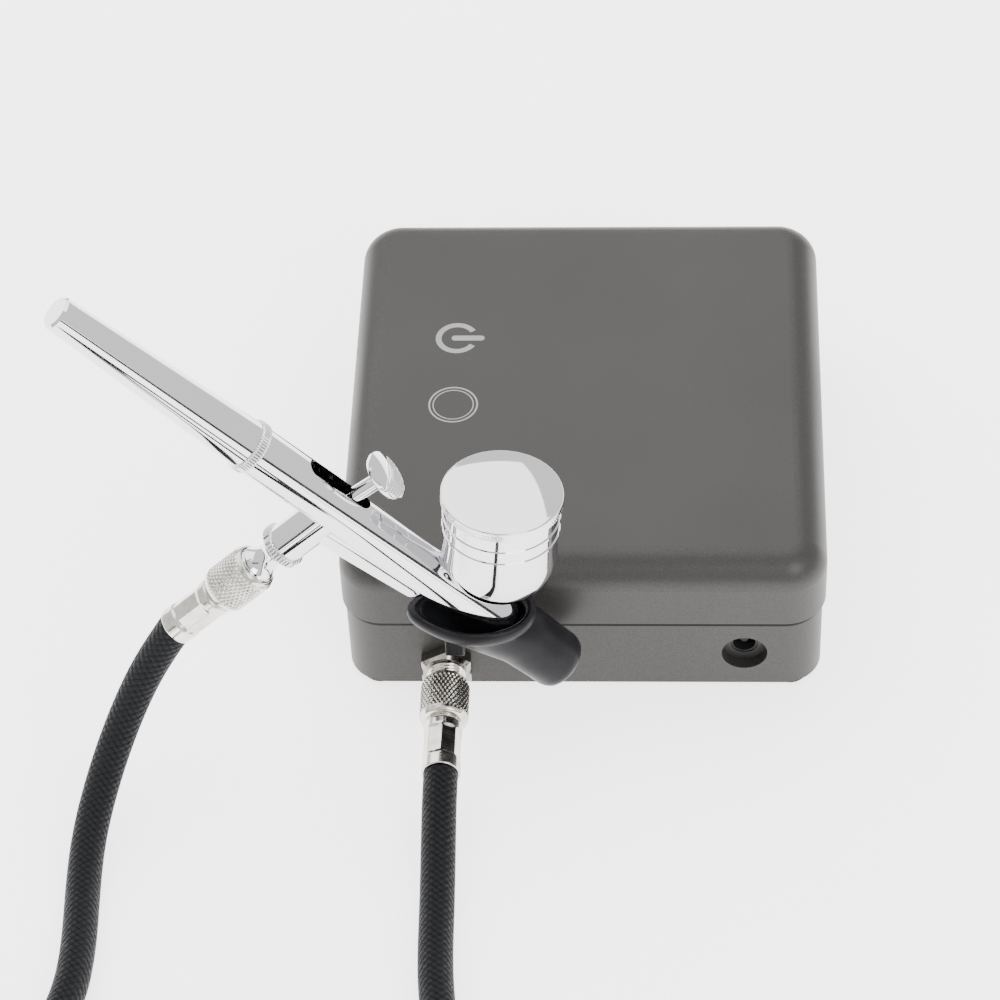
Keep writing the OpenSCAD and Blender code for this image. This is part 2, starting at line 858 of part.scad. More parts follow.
module valve_body() {
    color("silver") in_valve() difference() {
        translate([0, 0, 9]) cylinder(r = 5, h = 8);
        translate([0, 0, 8]) cylinder(r = 1.7, h = 20);
        translate([0, 0, 8]) cylinder(r = 2.9, h = 2.2);
        translate([0, 0, 13]) cylinder(r = 3.2, h = 20);
    }
}

module valve_plug() {
    color("silver") in_valve() difference() {
        union() {
            translate([0, 0, 17]) cylinder(r = 5.8, h = 2);
            translate([0, 0, 19]) cylinder(r1 = 4.6, r2 = 3.3, h = 3);
            translate([0, 0, 22]) cylinder(r = 3.3, h = 1.6);
            translate([0, 0, 23.6]) cylinder(r1 = 3.3, r2 = 4.6, h = 3);
            translate([0, 0, 26.6]) thread(4.8, 6.8);
        }
        translate([0, 0, 16]) cylinder(r = 2.6, h = 3.4);
        translate([0, 0, 16]) cylinder(r = 1.4, h = 30);
    }
}

module valve_plunger() {
    color("goldenrod") in_valve() {
        translate([0, 0, 7]) cylinder(r = 2.6, h = 0.8);
        translate([0, 0, 7.8]) cylinder(r = 1.6, h = 5.6);
        translate([0, 0, 13.4]) cylinder(r = 2.4, h = 1);
    }
}

module valve_spring() {
    color("gray") in_valve() translate([0, 0, 14.7]) spring_rings(5, 1.1, 2.1, 0.25);
}

top_cover();
base_shell();
rubber_feet();
case_screws();
power_symbol();
mode_ring();
touch_board();
control_board();
dc_jack();
wiring();
intake_filter();
pump_frame();
motor_can();
motor_cap();
rotor_shaft();
crank_disc();
piston_rod();
big_end_bearing();
piston_cup();
cylinder_sleeve();
valve_plate();
reed_valves();
cylinder_head();
head_screws();
rubber_mounts();
mount_screws();
air_tube();
outlet_adapter();
outlet_locknut();
hose_nut_lower();
hose_tail_lower();
ferrule_lower();
hose_run_lower();
hose_coil();
hose_run_upper();
ferrule_upper();
hose_tail_upper();
hose_nut_upper();
brush_holder();
holder_socket();
brush_body();
paint_cup();
cup_lid();
handle();
handle_ring();
trigger_button();
trigger_stem();
needle_guide();
needle();
needle_chuck();
needle_spring();
spring_case();
nozzle();
nozzle_cap();
needle_cap();
valve_body();
valve_plug();
valve_plunger();
valve_spring();
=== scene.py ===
"""Looks of the desktop airbrush compressor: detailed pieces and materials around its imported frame."""

import json
import math

import bpy
import numpy as np
from mathutils import Matrix, Vector


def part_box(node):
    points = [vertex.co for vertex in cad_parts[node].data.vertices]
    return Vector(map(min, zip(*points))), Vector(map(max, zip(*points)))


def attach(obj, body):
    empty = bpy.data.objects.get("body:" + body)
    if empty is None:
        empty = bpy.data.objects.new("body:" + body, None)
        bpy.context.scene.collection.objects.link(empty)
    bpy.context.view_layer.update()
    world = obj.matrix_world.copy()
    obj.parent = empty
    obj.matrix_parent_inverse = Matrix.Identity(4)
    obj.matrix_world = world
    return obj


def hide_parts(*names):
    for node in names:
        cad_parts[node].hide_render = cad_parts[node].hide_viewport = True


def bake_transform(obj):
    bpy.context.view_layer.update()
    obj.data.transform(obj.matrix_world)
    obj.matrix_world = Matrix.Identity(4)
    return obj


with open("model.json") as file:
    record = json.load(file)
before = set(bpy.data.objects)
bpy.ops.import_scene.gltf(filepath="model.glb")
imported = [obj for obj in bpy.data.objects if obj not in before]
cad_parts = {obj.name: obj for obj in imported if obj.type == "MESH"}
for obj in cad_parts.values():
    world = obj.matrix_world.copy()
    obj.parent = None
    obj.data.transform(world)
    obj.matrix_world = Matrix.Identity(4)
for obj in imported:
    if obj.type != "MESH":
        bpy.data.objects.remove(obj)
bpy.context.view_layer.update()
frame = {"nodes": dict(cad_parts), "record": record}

MM = 0.001
TURN = 2 * math.pi

# ---------------------------------------------------------------- places, in mm in the case's own frame
cover_low, cover_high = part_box("top_cover")
CASE = Vector(((cover_low.x + cover_high.x) / 2, (cover_low.y + cover_high.y) / 2, 0)) / MM
FRONT_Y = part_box("base_shell")[0].y / MM - CASE.y
RING_AT = (-75.2, -73.5, 98.6)
BRUSH_TILT = 47.4
BRUSH_ROLL = 5
VALVE_T = 27.3
PIVOT_H = -5
STEM_LEAN = 5.3
CUP_H = 30.6
CUP_T = 51.95
CUP_LEAN = 43.6
NUT_H = 27
OUTLET_X = -34.2
OUTLET_Z = 9.2
LOWER_NUT_Y = -69.6
NUT_LENGTH = 12.6
FERRULE_START = 13.4
HOSE_END = 28.8
SLOT_X = -31.5
# Painted shade of the seam: the height above which the base is painted near black, and that colour
# (SHADE_COLOUR).
SEAM_SHADE_Z = 23.3
# Painted shade of the airbrush's bore: its radius, its stretch along the axis and its dark colour.
BORE_SHADE_R = 5.6
BORE_SHADE_T = (8, 38)
BORE_SHADE_COLOUR = (0.03, 0.022, 0.014)
SHADE_COLOUR = (0.001, 0.001, 0.001)
THREAD_PITCH = 0.95


def shift(x, y, z):
    return Matrix.Translation((x, y, z))


def spin(axis, degrees):
    return Matrix.Rotation(math.radians(degrees), 4, axis)


IN_CASE = shift(*CASE)
IN_BRUSH = IN_CASE @ shift(*RING_AT) @ spin("Y", 90 + BRUSH_TILT) @ spin("Z", 180 - BRUSH_ROLL)
IN_VALVE = IN_BRUSH @ shift(0, 0, VALVE_T) @ spin("Y", -90)
IN_CUP = IN_BRUSH @ shift(CUP_H, 0, CUP_T) @ spin("Y", 90 + CUP_LEAN)
IN_TRIGGER = IN_BRUSH @ shift(PIVOT_H, 0, VALVE_T) @ spin("Y", 90 - STEM_LEAN)


def along_front(x, y, z):
    return IN_CASE @ shift(x, y, z) @ spin("X", 90)


# ---------------------------------------------------------------- camera
def make_camera():
    target = Vector((-22.0, -18.3, 21.2))
    distance, elevation, azimuth, roll = 928.3, math.radians(46.94), math.radians(4.07), math.radians(-2.96)
    back = Vector((math.sin(azimuth) * math.cos(elevation), -math.cos(azimuth) * math.cos(elevation),
                   math.sin(elevation)))
    level = Vector((math.cos(azimuth), math.sin(azimuth), 0))
    upright = back.cross(level)
    right = math.cos(roll) * level + math.sin(roll) * upright
    up = math.cos(roll) * upright - math.sin(roll) * level
    data = bpy.data.cameras.new("camera")
    data.sensor_width = 36
    data.lens = 130.79
    data.clip_start, data.clip_end = 0.05, 20
    camera = bpy.data.objects.new("camera", data)
    bpy.context.scene.collection.objects.link(camera)
    place = Matrix((right, up, back)).transposed().to_4x4()
    place.translation = (target + back * distance + CASE) * MM
    camera.matrix_world = place
    bpy.context.scene.camera = camera


make_camera()


# ---------------------------------------------------------------- mesh tools
def new_mesh(name, points, faces, uvs=None, sharp=35):
    """Points are in mm in the shared frame."""
    mesh = bpy.data.meshes.new(name)
    mesh.from_pydata([tuple(c * MM for c in p) for p in points], [], faces)
    mesh.polygons.foreach_set("use_smooth", [True] * len(mesh.polygons))
    if uvs is not None:
        layer = mesh.uv_layers.new(name="along")
        layer.data.foreach_set("uv", np.asarray(uvs, np.float32).ravel())
    mesh.update()
    mesh.set_sharp_from_angle(angle=math.radians(sharp))
    piece = bpy.data.objects.new(name, mesh)
    bpy.context.scene.collection.objects.link(piece)
    return piece


def dense(profile, step):
    """The profile with every straight stretch cut to at most step."""
    out = [profile[0]]
    for (z0, r0), (z1, r1) in zip(profile, profile[1:]):
        n = max(1, math.ceil(math.hypot(z1 - z0, r1 - r0) / step))
        out += [(z0 + (z1 - z0) * i / n, r0 + (r1 - r0) * i / n) for i in range(1, n + 1)]
    return out


def turned(name, profile, place, radial=None, steps=96, loop=True, sharp=35):
    """A turned piece. The profile holds (height, radius), and radial(angle, height, radius) may vary it."""
    points, faces = [], []
    rows = len(profile)
    for z, r in profile:
        for k in range(steps):
            angle = TURN * k / steps
            reach = radial(angle, z, r) if radial else r
            points.append(place @ Vector((reach * math.cos(angle), reach * math.sin(angle), z)))
    for i in range(rows if loop else rows - 1):
        j = (i + 1) % rows
        for k in range(steps):
            m = (k + 1) % steps
            faces.append((i * steps + k, i * steps + m, j * steps + m, j * steps + k))
    if not loop:
        faces.append(tuple(range(steps))[::-1])
        faces.append(tuple(range((rows - 1) * steps, rows * steps)))
    return new_mesh(name, points, faces, sharp=sharp)


def triangle_wave(x):
    return abs(2 * (x % 1) - 1)


def ease(x):
    x = min(max(x, 0), 1)
    return x * x * (3 - 2 * x)


def arc(centre_z, centre_r, radius, start, end, steps=6):
    """Points of a quarter-round in a profile; angles in degrees from +radius towards +height."""
    turns = [math.radians(start + (end - start) * i / steps) for i in range(steps + 1)]
    return [(centre_z + radius * math.sin(a), centre_r + radius * math.cos(a)) for a in turns]


# ---------------------------------------------------------------- hose
HOSE_R = 4.25
RUN_LOWER = [(-34.2, -98.4, 9.2), (-34.2, -107, 8.8), (-34, -117, 7.3), (-33.8, -127, 5.6),
             (-33.6, -139, 4.5), (-33.4, -151, 4.25), (-32.2, -164, 4.25), (-29.2, -178, 4.25),
             (-25, -192, 4.25), (-21, -206, 4.25)]
COIL_WAY_IN = [(-18, -221, 4.25), (-17, -235, 4.25)]
COIL_WAY_OUT = [(-139.4, -235, 4.25)]
RUN_UPPER = [(-138.8, -220, 4.25), (-136, -206, 4.25), (-131, -192, 4.25), (-124.5, -177, 4.25),
             (-119, -162, 4.25), (-118, -146, 4.25), (-118.8, -130, 4.25), (-118.6, -116, 6.6),
             (-116, -103, 12), (-111.4, -92, 20.6), (-105.2, -83.8, 31), (-98.9, -79.1, 39.2),
             (-97.7, -78.4, 40.8)]
COIL_AT = (-76, -248)
COIL_START_R = 59
COIL_EXIT_R = 63.6
COIL_PITCH = 8.8
FLOOR_TURNS = 2
ALL_TURNS = 3.5
SECOND_LAYER_Z = 13.05
CURVE_POINTS = 10
SMOOTHING_PASSES = 30


def coil_turns(per_turn=24):
    """Two turns inwards on the floor, then out over them and down to the floor on the far side."""
    points = []
    level_turns = 0.1
    climb_at, climb_over = 1.8, 0.4
    swing_at, swing_over = 2.8, 0.55
    drop_at, drop_over = 3.2, 0.42
    inner_r = COIL_START_R - FLOOR_TURNS * COIL_PITCH
    last_r = inner_r + COIL_PITCH * (ALL_TURNS - FLOOR_TURNS - level_turns)
    for i in range(int(ALL_TURNS * per_turn) + 1):
        t = i / per_turn
        inwards, outwards = min(t, FLOOR_TURNS), max(t - FLOOR_TURNS - level_turns, 0)
        r = COIL_START_R - COIL_PITCH * inwards + COIL_PITCH * outwards
        r += (COIL_EXIT_R - last_r) * ease((t - swing_at) / swing_over)
        raised = ease((t - climb_at) / climb_over) - ease((t - drop_at) / drop_over)
        z = HOSE_R + (SECOND_LAYER_Z - HOSE_R) * raised
        points.append((COIL_AT[0] + r * math.cos(TURN * t), COIL_AT[1] - r * math.sin(TURN * t), z))
    return points


def smooth_line(points, step):
    """One smooth curve through the points, with a point every step mm."""
    p = np.array(points, float)
    p = np.vstack([2 * p[0] - p[1], p, 2 * p[-1] - p[-2]])
    t = np.linspace(0, 1, CURVE_POINTS, endpoint=False)[:, None]
    fine = []
    for a, b, c, d in zip(p, p[1:], p[2:], p[3:]):
        fine.append(0.5 * (2 * b + (c - a) * t + (2 * a - 5 * b + 4 * c - d) * t ** 2
                           + (3 * b - a - 3 * c + d) * t ** 3))
    fine = np.vstack(fine + [p[-2]])
    along = np.r_[0, np.cumsum(np.linalg.norm(np.diff(fine, axis=0), axis=1))]
    places = np.linspace(0, along[-1], int(round(along[-1] / step)) + 1)
    line = np.stack([np.interp(places, along, fine[:, k]) for k in range(3)], 1)
    for _ in range(SMOOTHING_PASSES):
        line[1:-1] += 0.25 * (line[:-2] - 2 * line[1:-1] + line[2:])
    line[:, 2] = np.maximum(line[:, 2], HOSE_R)
    return line


def make_hose(sides=28, step=1.25):
    line = smooth_line(RUN_LOWER + COIL_WAY_IN + coil_turns() + COIL_WAY_OUT + RUN_UPPER, step)
    line = line + np.array(CASE)
    ahead = np.gradient(line, axis=0)
    ahead /= np.linalg.norm(ahead, axis=1)[:, None]
    side = np.cross(ahead[0], (0, 0, 1.0))
    points, faces, uvs = [], [], []
    for i, (centre, way) in enumerate(zip(line, ahead)):
        side = side - way * side.dot(way)
        side /= np.linalg.norm(side)
        other = np.cross(way, side)
        for k in range(sides):
            a = TURN * k / sides
            points.append(centre + HOSE_R * (math.cos(a) * side + math.sin(a) * other))
    length = len(line) - 1
    for i in range(length):
        for k in range(sides):
            m = (k + 1) % sides
            faces.append((i * sides + k, i * sides + m, (i + 1) * sides + m, (i + 1) * sides + k))
            around = (k / sides, (k + 1) / sides)
            uvs += [(around[0], i * step), (around[1], i * step), (around[1], (i + 1) * step),
                    (around[0], (i + 1) * step)]
    for ends in (tuple(range(sides))[::-1], tuple(range(length * sides, (length + 1) * sides))):
        faces.append(ends)
        uvs += [(0.5, 0.0)] * sides
    hose = new_mesh("braided_hose", points, faces, uvs, sharp=60)
    return hose, line * MM


hose, hose_line = make_hose()


# ---------------------------------------------------------------- materials
class Look:
    """A procedural material. Texture coordinates are the object's own, in metres."""

    def __init__(self, name, colour, **sockets):
        self.material = bpy.data.materials.new(name)
        self.material.use_nodes = True
        self.nodes = self.material.node_tree.nodes
        self.links = self.material.node_tree.links
        self.shader = self.nodes["Principled BSDF"]
        self.shader.inputs["Base Color"].default_value = (*colour, 1)
        for socket, value in sockets.items():
            self.shader.inputs[socket.replace("_", " ")].default_value = value
        self.where = self.nodes.new("ShaderNodeTexCoord").outputs["Object"]

    def node(self, kind, **settings):
        made = self.nodes.new("ShaderNode" + kind)
        for key, value in settings.items():
            setattr(made, key, value)
        return made

    def math(self, operation, *values):
        made = self.node("Math", operation=operation)
        for socket, value in zip(made.inputs, values):
            if isinstance(value, (int, float)):
                socket.default_value = value
            else:
                self.links.new(value, socket)
        return made.outputs[0]

    def noise(self, scale, detail=3, stretch=None):
        made = self.node("TexNoise")
        made.inputs["Scale"].default_value = scale
        made.inputs["Detail"].default_value = detail
        place = self.where
        if stretch:
            mapping = self.node("Mapping")
            mapping.inputs["Scale"].default_value = stretch
            self.links.new(self.where, mapping.inputs["Vector"])
            place = mapping.outputs["Vector"]
        self.links.new(place, made.inputs["Vector"])
        return made.outputs["Fac"]

    def ramp(self, source, low, high, colours):
        made = self.node("ValToRGB")
        made.color_ramp.elements[0].position = low
        made.color_ramp.elements[1].position = high
        made.color_ramp.elements[0].color = (*colours[0], 1)
        made.color_ramp.elements[1].color = (*colours[1], 1)
        self.links.new(source, made.inputs["Fac"])
        return made.outputs["Color"]

    def colour(self, source, low, high, colours):
        self.links.new(self.ramp(source, low, high, colours), self.shader.inputs["Base Color"])
        return self

    def roughness(self, source, low, high):
        made = self.node("MapRange")
        made.inputs["From Min"].default_value = 0.3
        made.inputs["From Max"].default_value = 0.7
        made.inputs["To Min"].default_value = low
        made.inputs["To Max"].default_value = high
        self.links.new(source, made.inputs["Value"])
        self.links.new(made.outputs["Result"], self.shader.inputs["Roughness"])
        return self

    def bump(self, source, depth, strength=1.0):
        made = self.node("Bump")
        made.inputs["Distance"].default_value = depth
        made.inputs["Strength"].default_value = strength
        self.links.new(source, made.inputs["Height"])
        self.links.new(made.outputs["Normal"], self.shader.inputs["Normal"])
        return self


def grey(value, warm=0.0):
    return (value * (1 + warm), value, value * (1 - warm))


def paint_look(name="case_paint", seam_shade_from=None):
    """Satin metallic paint. Above the given height, in mm, it is painted near black as painted shade for
    the dark gap under the cover.
    """
    look = Look(name, grey(0.05, 0.05), Metallic=0.5, Specular_IOR_Level=0.2)
    grain = look.noise(5200, 2)
    painted = look.ramp(grain, 0.3, 0.72, (grey(0.036, 0.05), grey(0.060, 0.05)))
    if seam_shade_from is None:
        look.links.new(painted, look.shader.inputs["Base Color"])
    else:
        split = look.node("SeparateXYZ")
        look.links.new(look.where, split.inputs[0])
        # Painted shade: above this height the base's colour is near black, standing in for the shade in the
        # gap under the cover's overhang.
        in_seam_shade = look.math("GREATER_THAN", split.outputs["Z"], seam_shade_from * MM)
        mix = look.node("Mix", data_type="RGBA")
        look.links.new(in_seam_shade, mix.inputs[0])
        look.links.new(painted, mix.inputs[6])
        mix.inputs[7].default_value = (*SHADE_COLOUR, 1)
        look.links.new(mix.outputs[2], look.shader.inputs["Base Color"])
    look.roughness(look.noise(25, 2), 0.38, 0.46)
    return look.bump(grain, 0.00002, 0.4)


def chrome_look(name="chrome", tint=(0.74, 0.74, 0.76), low=0.025, high=0.07):
    look = Look(name, tint, Metallic=1.0)
    smear = look.noise(60, 4)
    look.colour(smear, 0.3, 0.7, (tuple(c * 0.97 for c in tint), tint))
    look.roughness(look.noise(150, 5), low, high)
    return look.bump(look.noise(90, 2), 0.00001, 0.25)


def barrel_look():
    """Chrome outside; inside the bore, which the trigger's slot shows, the colour is painted dark as
    painted shade.
    """
    look = chrome_look("barrel_chrome_bore_shade")
    polished = look.shader.inputs["Base Color"].links[0].from_socket
    offset = look.node("VectorMath", operation="SUBTRACT")
    look.links.new(look.where, offset.inputs[0])
    offset.inputs[1].default_value = IN_BRUSH.translation * MM
    turn = IN_BRUSH.to_3x3()
    parts = []
    for axis in (Vector((1, 0, 0)), Vector((0, 1, 0)), Vector((0, 0, 1))):
        dot = look.node("VectorMath", operation="DOT_PRODUCT")
        look.links.new(offset.outputs[0], dot.inputs[0])
        dot.inputs[1].default_value = turn @ axis
        parts.append(dot.outputs["Value"])
    across = look.math("SQRT", look.math("ADD", look.math("POWER", look.math("ABSOLUTE", parts[0]), 2.0),
                                         look.math("POWER", look.math("ABSOLUTE", parts[1]), 2.0)))
    inside = look.math("MULTIPLY", look.math("LESS_THAN", across, BORE_SHADE_R * MM),
                       look.math("GREATER_THAN", parts[2], BORE_SHADE_T[0] * MM))
    inside = look.math("MULTIPLY", inside, look.math("LESS_THAN", parts[2], BORE_SHADE_T[1] * MM))
    # Painted shade: inside the bore the chrome's colour is swapped for a dark one.
    mix = look.node("Mix", data_type="RGBA")
    look.links.new(inside, mix.inputs[0])
    look.links.new(polished, mix.inputs[6])
    mix.inputs[7].default_value = (*BORE_SHADE_COLOUR, 1)
    look.links.new(mix.outputs[2], look.shader.inputs["Base Color"])
    return look


def nickel_look(name="nickel", tint=(0.74, 0.72, 0.67), dark=(0.5, 0.48, 0.44)):
    look = Look(name, tint, Metallic=1.0)
    look.colour(look.noise(220, 5), 0.3, 0.65, (dark, tint))
    look.roughness(look.noise(500, 4), 0.1, 0.24)
    return look.bump(look.noise(1500, 2), 0.00001, 0.3)


def metal_look(name, tint, dark, low, high, grain):
    look = Look(name, tint, Metallic=1.0)
    look.colour(look.noise(140, 4), 0.3, 0.7, (dark, tint))
    look.roughness(look.noise(grain, 4), low, high)
    return look.bump(look.noise(grain, 3), 0.00003, 0.4)


def plastic_look(name, dark, light, low, high, grain=900, depth=0.00003, shine=0.3):
    look = Look(name, light, Specular_IOR_Level=shine)
    look.colour(look.noise(120, 4), 0.3, 0.7, (dark, light))
    look.roughness(look.noise(300, 3), low, high)
    return look.bump(look.noise(grain, 2), depth, 0.4)


def braid_look():
    """Yarns cross at an angle and pass over and under in turn; the map runs round and along the hose."""
    yarns_round, yarns_per_mm, strand_relief = 12.0, 0.56, 0.22
    look = Look("hose_braid", (0.012, 0.014, 0.017), Specular_IOR_Level=0.12)
    split = look.node("SeparateXYZ")
    look.links.new(look.node("TexCoord").outputs["UV"], split.inputs[0])
    around = look.math("MULTIPLY", split.outputs["X"], yarns_round)
    along = look.math("MULTIPLY", split.outputs["Y"], yarns_per_mm)
    one = look.math("ADD", around, along)
    two = look.math("SUBTRACT", around, along)
    parity = look.math("MODULO", look.math("ADD", look.math("FLOOR", one), look.math("FLOOR", two)), 2.0)
    over = look.math("ABSOLUTE", parity)
    heights = []
    for across, lengthways in ((one, two), (two, one)):
        crown = look.math("SINE", look.math("MULTIPLY", look.math("FRACT", across), math.pi))
        bow = look.math("SINE", look.math("MULTIPLY", look.math("FRACT", lengthways), math.pi))
        strands = look.math("ABSOLUTE", look.math("SINE", look.math("MULTIPLY", across, 4 * math.pi)))
        body = look.math("MULTIPLY", look.math("POWER", crown, 0.5), look.math("ADD", bow, 0.6))
        heights.append(look.math("ADD", body, look.math("MULTIPLY", strands, strand_relief)))
    first = look.math("MULTIPLY", heights[0], over)
    second = look.math("MULTIPLY", heights[1], look.math("SUBTRACT", 1.0, over))
    height = look.math("ADD", first, second)
    # Painted highlight and shade: yarn crowns are coloured lighter and the low parts between yarns darker.
    look.colour(height, 0.3, 1.5, ((0.0012, 0.0012, 0.0014), (0.014, 0.0145, 0.0165)))
    look.roughness(look.noise(900, 3), 0.42, 0.62)
    return look.bump(height, 0.0004, 0.9)


LOOKS = {
    "case_paint": paint_look(),
    "base_paint_seam_shade": paint_look("base_paint_seam_shade", seam_shade_from=SEAM_SHADE_Z),
    "chrome": chrome_look(),
    "barrel_chrome_bore_shade": barrel_look(),
    "nickel": nickel_look(),
    "dark_nickel": nickel_look("dark_nickel", (0.42, 0.4, 0.37), (0.26, 0.25, 0.23)),
    "needle_steel": metal_look("needle_steel", grey(0.78), grey(0.66), 0.08, 0.18, 700),
    "steel": metal_look("steel", grey(0.62), grey(0.48), 0.22, 0.4, 900),
    "cast_alloy": metal_look("cast_alloy", grey(0.55), grey(0.43), 0.4, 0.6, 1200),
    "brass": metal_look("brass", (0.83, 0.62, 0.27), (0.68, 0.47, 0.18), 0.15, 0.3, 700),
    "black_rubber": plastic_look("black_rubber", grey(0.008), grey(0.018), 0.6, 0.8),
    "black_plastic": plastic_look("black_plastic", grey(0.012), grey(0.022), 0.35, 0.5),
    "holder_plastic": plastic_look("holder_plastic", (0.007, 0.007, 0.008), (0.012, 0.012, 0.014), 0.3, 0.4,
                                   shine=0.14),
    "symbol_print": plastic_look("symbol_print", (0.27, 0.29, 0.27), (0.33, 0.35, 0.32), 0.2, 0.35),
    "circuit_board": plastic_look("circuit_board", (0.01, 0.09, 0.035), (0.02, 0.16, 0.06), 0.3, 0.5),
    "wire_red": plastic_look("wire_red", (0.35, 0.015, 0.012), (0.5, 0.03, 0.025), 0.35, 0.5),
    "filter_foam": plastic_look("filter_foam", grey(0.3), grey(0.45), 0.8, 0.95, 1500, 0.0003),
    "silicone": plastic_look("silicone", grey(0.55), grey(0.68), 0.3, 0.45),
    "hose_braid": braid_look(),
}
for subpart in frame["record"]["subparts"]:
    mesh = frame["nodes"][subpart["node"]].data
    mesh.materials.clear()
    mesh.materials.append(LOOKS[subpart["material_slot"]].material)
# The base shell takes the paint with the painted seam shade band.
frame["nodes"]["base_shell"].data.materials[0] = LOOKS["base_paint_seam_shade"].material
# The airbrush body's chrome has painted shade in its bore.
frame["nodes"]["brush_body"].data.materials[0] = LOOKS["barrel_chrome_bore_shade"].material


def finish_piece(piece, slot, body, *nodes):
    """Gives a new piece its material and its body, and hides the CAD nodes that it stands for."""
    piece.data.materials.append(LOOKS[slot].material)
    if body:
        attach(piece, body)
    if nodes:
        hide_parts(*nodes)
    return piece


finish_piece(hose, "hose_braid", None, "hose_run_lower", "hose_coil", "hose_run_upper")
# The bend runs up and to the left, so that the lower run and the coil all lie before its start.
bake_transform(hose)


# ---------------------------------------------------------------- hose ends
def knurl(count, pitch, depth, low, high):
    """Diamond knurling between two heights, fading out at its ends."""
    def radial(angle, z, r):
        fade = ease((z - low) / 0.5) * ease((high - z) / 0.5)
        turn = count * angle / TURN
        diamond = min(triangle_wave(turn + z / pitch), triangle_wave(turn - z / pitch))
        return r - depth * fade * (1 - min(1, 1.5 * diamond))
    return radial


def hose_nut(name, place, body, node):
    bore, seat = 5.0, 3.85
    outer = dense([(1.4, 6.1), (NUT_LENGTH - 1.6, 6.1)], 0.2)
    ends = [(0, bore), (0, 5.25), (0.25, 5.55), (0.9, 5.75)]
    far = [(NUT_LENGTH - 1.1, 5.8), (NUT_LENGTH - 0.5, 5.65), (NUT_LENGTH, 5.2), (NUT_LENGTH, seat)]
    profile = ends + outer + far + [(8, seat), (8, bore)]
    def radial(angle, z, r):
        return shaped(angle, z, r) if r > 6 else r
    shaped = knurl(34, 1.9, 0.42, 1.2, NUT_LENGTH - 1.4)
    finish_piece(turned(name, profile, place, radial, 204, sharp=50), "nickel", body, node)


def ferrule(name, place, body, node):
    """A pressed sleeve: round at both ends, with eight crimped flats between them."""
    flats, flat_r, round_r = 8, 4.32, 4.75
    low, high = FERRULE_START + 2.6, HOSE_END - 3.6
    def radial(angle, z, r):
        if r < 4.3:
            return r
        step = TURN / flats
        flat = min(flat_r / math.cos((angle % step) - step / 2), 4.62)
        press = ease((z - low) / 0.9) * ease((high - z) / 0.9)
        return r + (flat - r) * press
    shoulder = arc(FERRULE_START + 0.7, round_r - 0.7, 0.7, -90, 0)
    rim = arc(HOSE_END - 0.3, 4.55, 0.3, 0, 90, 4)
    body_line = dense([(FERRULE_START + 0.7, round_r), (HOSE_END - 0.3, 4.85)], 0.3)
    inside = [(HOSE_END, 4.3), (HOSE_END - 2, 4.27)]
    profile = [(FERRULE_START, 2.7)] + shoulder + body_line[1:-1] + rim + inside
    finish_piece(turned(name, profile, place, radial, 192, sharp=28), "nickel", body, node)


def hose_tail(name, place, body, node):
    neck = [(6.5, 1.3), (6.5, 4.7), (7.9, 4.7), (7.9, 3.7), (FERRULE_START - 0.9, 3.7),
            (FERRULE_START - 0.6, 4.0), (FERRULE_START, 4.0), (FERRULE_START, 1.3)]
    finish_piece(turned(name, neck, place), "nickel", body, node)


for ending, start_at, body, nut_body in (
        ("lower", along_front(OUTLET_X, LOWER_NUT_Y, OUTLET_Z), "root", "lower_nut"),
        ("upper", IN_VALVE @ shift(0, 0, NUT_H), "airbrush", "upper_nut")):
    hose_nut("knurled_nut_" + ending, start_at, nut_body, "hose_nut_" + ending)
    hose_tail("tail_" + ending, start_at, body, "hose_tail_" + ending)
    ferrule("crimped_ferrule_" + ending, start_at, body, "ferrule_" + ending)


# ---------------------------------------------------------------- air outlet
def hexagon_reach(across, angle):
    """Reach of a hexagon with a corner upwards."""
    step = TURN / 6
    return across / 2 / math.cos(((angle + TURN / 12) % step) - step / 2)


def outlet():
    across, thickness, thread_depth = 12.3, 3.7, 0.55
    corner = across / math.sqrt(3)
    def radial(angle, z, r):
        return min(r, hexagon_reach(across, angle)) if r > 5.5 else r
    hexagon = [(-0.1, 4), (-0.1, 6.3), (0.35, corner + 0.1), (thickness - 0.9, corner + 0.1),
               (thickness, 5.75)]
    def thread(angle, z, r):
        return r if r < 4.6 else r - thread_depth * (1 - triangle_wave(z / THREAD_PITCH - angle / TURN))
    place = along_front(OUTLET_X, FRONT_Y, OUTLET_Z)
    finish_piece(turned("outlet_hexagon", hexagon + [(thickness, 4)], place, radial, 144, sharp=20),
                 "dark_nickel", "root", "outlet_adapter")
    screw = [(thickness, 1.4), (thickness, 4.2)] + dense([(thickness + 0.1, 4.85), (12.8, 4.85)], 0.16)
    piece = turned("outlet_thread", screw + [(13.2, 4.2), (13.2, 1.4)], place, thread, 96)
    finish_piece(piece, "nickel", "root")


outlet()


# ---------------------------------------------------------------- airbrush
def fluted(count, depth):
    def radial(angle, z, r):
        return r - depth * (0.5 - 0.5 * math.cos(count * angle)) ** 2
    return radial


def handle_ring():
    flutes = fluted(56, 0.3)
    rim = dense([(-1.05, 6.6), (1.05, 6.6)], 0.5)
    profile = [(-1.3, 4.4), (-1.3, 6.2)] + rim + [(1.3, 6.2), (1.3, 4.4)]
    def radial(angle, z, r):
        return flutes(angle, z, r) if r > 6.5 else r
    piece = turned("fluted_ring", profile, IN_BRUSH, radial, 448)
    finish_piece(piece, "chrome", "airbrush", "handle_ring")


